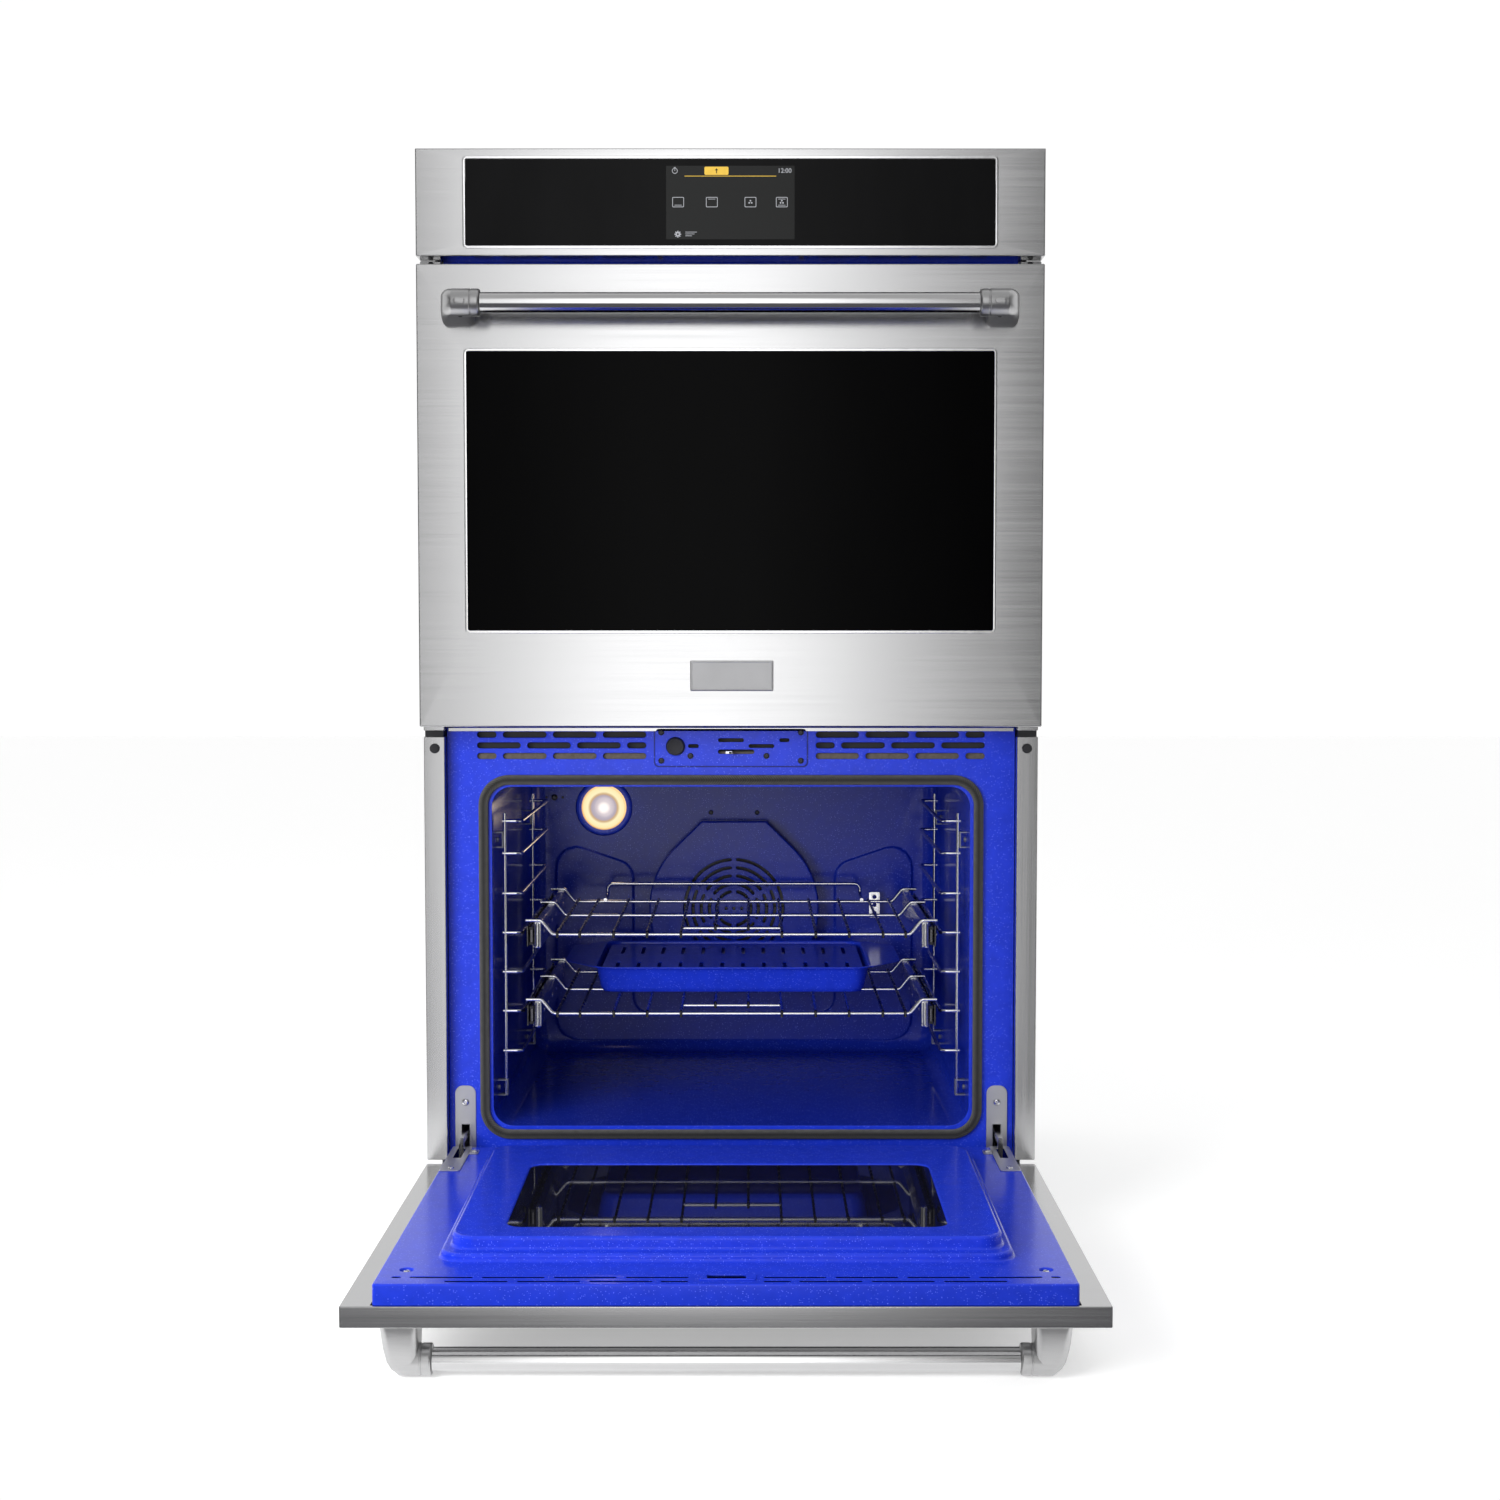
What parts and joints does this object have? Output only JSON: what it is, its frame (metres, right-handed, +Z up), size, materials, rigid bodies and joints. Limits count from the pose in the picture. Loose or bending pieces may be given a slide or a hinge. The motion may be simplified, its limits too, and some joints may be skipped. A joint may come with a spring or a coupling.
{
  "type": "double wall oven",
  "caption": "Built-in double wall oven with drop-down window doors, pull-out racks, a broiler pan, convection fans and a touch control panel.",
  "frame": {"origin": "underside of the base pan, at the middle of the casing's width, 330 mm behind the doors' outer face", "axes": "+X to the right seen from the front, +Y to the back, +Z up"},
  "size_m": [0.756, 1.153, 1.3247],
  "materials": {
    "stainless": "horizontal brushed",
    "polished_steel": "fine satin, nearly polished",
    "galvanised": "galvanised sheet",
    "enamel": "gloss porcelain enamel with fine pale speckle",
    "control_glass": "black touch glass",
    "door_glass": "dark reflective glass",
    "wire": "bright plated",
    "gasket_braid": "braided glass fibre over wire",
    "plastic": "moulded",
    "board": "circuit board",
    "lamp_lens": "ribbed glass, lit",
    "element": "heat-darkened sheath"
  },
  "bodies": {
    "case": {"chassis_wrap": "galvanised", "base_pan": "galvanised", "rear_cover": "galvanised", "conduit_box": "galvanised", "blower_housing": "galvanised", "side_trim_left": "stainless", "side_trim_right": "stainless", "bottom_trim": "stainless", "control_fascia": "stainless", "control_glass": "control_glass", "display_module": "plastic", "control_board": "board", "lower_front_frame": "enamel", "lower_cavity": "enamel", "lower_fan_baffle": "enamel", "lower_gasket": "gasket_braid", "lower_fan_motor": "galvanised", "lower_lamp": "lamp_lens", "lower_hinge_left": "wire", "lower_hinge_right": "wire", "upper_front_frame": "enamel", "upper_cavity": "enamel", "upper_fan_baffle": "enamel", "upper_gasket": "gasket_braid", "upper_fan_motor": "galvanised", "upper_lamp": "lamp_lens", "upper_hinge_left": "wire", "upper_hinge_right": "wire", "lower_broil_element": "element", "rack_guide_left": "wire", "rack_guide_right": "wire"},
    "lower_door": {"lower_door_skin": "stainless", "lower_door_glass": "door_glass", "lower_door_liner": "enamel", "lower_inner_glass": "door_glass", "lower_handle_bar": "polished_steel", "lower_handle_post_left": "polished_steel", "lower_handle_post_right": "polished_steel"},
    "lower_fan": {"lower_fan_wheel": "galvanised"},
    "lower_latch": {"lower_latch_hook": "wire"},
    "lower_switch": {"lower_door_switch": "plastic"},
    "upper_door": {"upper_door_skin": "stainless", "upper_door_glass": "door_glass", "upper_door_liner": "enamel", "upper_inner_glass": "door_glass", "upper_handle_bar": "polished_steel", "upper_handle_post_left": "polished_steel", "upper_handle_post_right": "polished_steel"},
    "upper_fan": {"upper_fan_wheel": "galvanised"},
    "upper_latch": {"upper_latch_hook": "wire"},
    "upper_switch": {"upper_door_switch": "plastic"},
    "top_rack": {"top_rack": "wire"},
    "top_glides": {"top_glide_left": "wire", "top_glide_right": "wire"},
    "bottom_rack": {"bottom_rack": "wire"},
    "bottom_glides": {"bottom_glide_left": "wire", "bottom_glide_right": "wire"},
    "pan": {"broiler_pan": "enamel", "broiler_grid": "enamel"},
    "blower": {"blower_wheel": "plastic"}
  },
  "joints": [
    {"name": "lower_door_hinge", "type": "hinge", "parent": "case", "child": "lower_door", "pos_m": [0, -0.3156, 0.045], "axis": [1, 0, 0], "range_deg": [-90, 0], "stiffness_Nm_per_rad": 17, "springref_deg": -106.63},
    {"name": "upper_door_hinge", "type": "hinge", "parent": "case", "child": "upper_door", "pos_m": [0, -0.3156, 0.6108], "axis": [1, 0, 0], "range_deg": [0, 90], "stiffness_Nm_per_rad": 17, "springref_deg": -16.62},
    {"name": "top_rack_slide", "type": "slide", "parent": "case", "child": "top_rack", "axis": [0, -1, 0], "range_m": [0, 0.35]},
    {"name": "top_glide_slide", "type": "slide", "parent": "case", "child": "top_glides", "axis": [0, -1, 0], "range_m": [0, 0.175]},
    {"name": "bottom_rack_slide", "type": "slide", "parent": "case", "child": "bottom_rack", "axis": [0, -1, 0], "range_m": [0, 0.35]},
    {"name": "bottom_glide_slide", "type": "slide", "parent": "case", "child": "bottom_glides", "axis": [0, -1, 0], "range_m": [0, 0.175]},
    {"name": "pan_slide", "type": "slide", "parent": "bottom_rack", "child": "pan", "axis": [0, -1, 0], "range_m": [0, 0.11]},
    {"name": "lower_fan_spin", "type": "hinge", "parent": "case", "child": "lower_fan", "pos_m": [0, 0.195, 0.309], "axis": [0, 1, 0], "continuous": true},
    {"name": "lower_latch_turn", "type": "hinge", "parent": "case", "child": "lower_latch", "pos_m": [0.01, -0.25, 0.5632], "axis": [0, 0, 1], "range_deg": [0, 20]},
    {"name": "lower_switch_press", "type": "slide", "parent": "case", "child": "lower_switch", "axis": [0, 1, 0], "range_m": [0, 0.004], "stiffness_N_per_m": 200, "springref_m": -0.003},
    {"name": "upper_fan_spin", "type": "hinge", "parent": "case", "child": "upper_fan", "pos_m": [0, 0.195, 0.8748], "axis": [0, 1, 0], "continuous": true},
    {"name": "upper_latch_turn", "type": "hinge", "parent": "case", "child": "upper_latch", "pos_m": [0.01, -0.25, 1.129], "axis": [0, 0, 1], "range_deg": [0, 20]},
    {"name": "upper_switch_press", "type": "slide", "parent": "case", "child": "upper_switch", "axis": [0, 1, 0], "range_m": [0, 0.004], "stiffness_N_per_m": 200, "springref_m": -0.003},
    {"name": "blower_spin", "type": "hinge", "parent": "case", "child": "blower", "pos_m": [0, 0, 1.2], "axis": [0, 0, 1], "continuous": true}
  ],
  "couplings": [
    {"joint": "top_glide_slide", "follows": "top_rack_slide", "ratio": 0.5},
    {"joint": "bottom_glide_slide", "follows": "bottom_rack_slide", "ratio": 0.5}
  ]
}
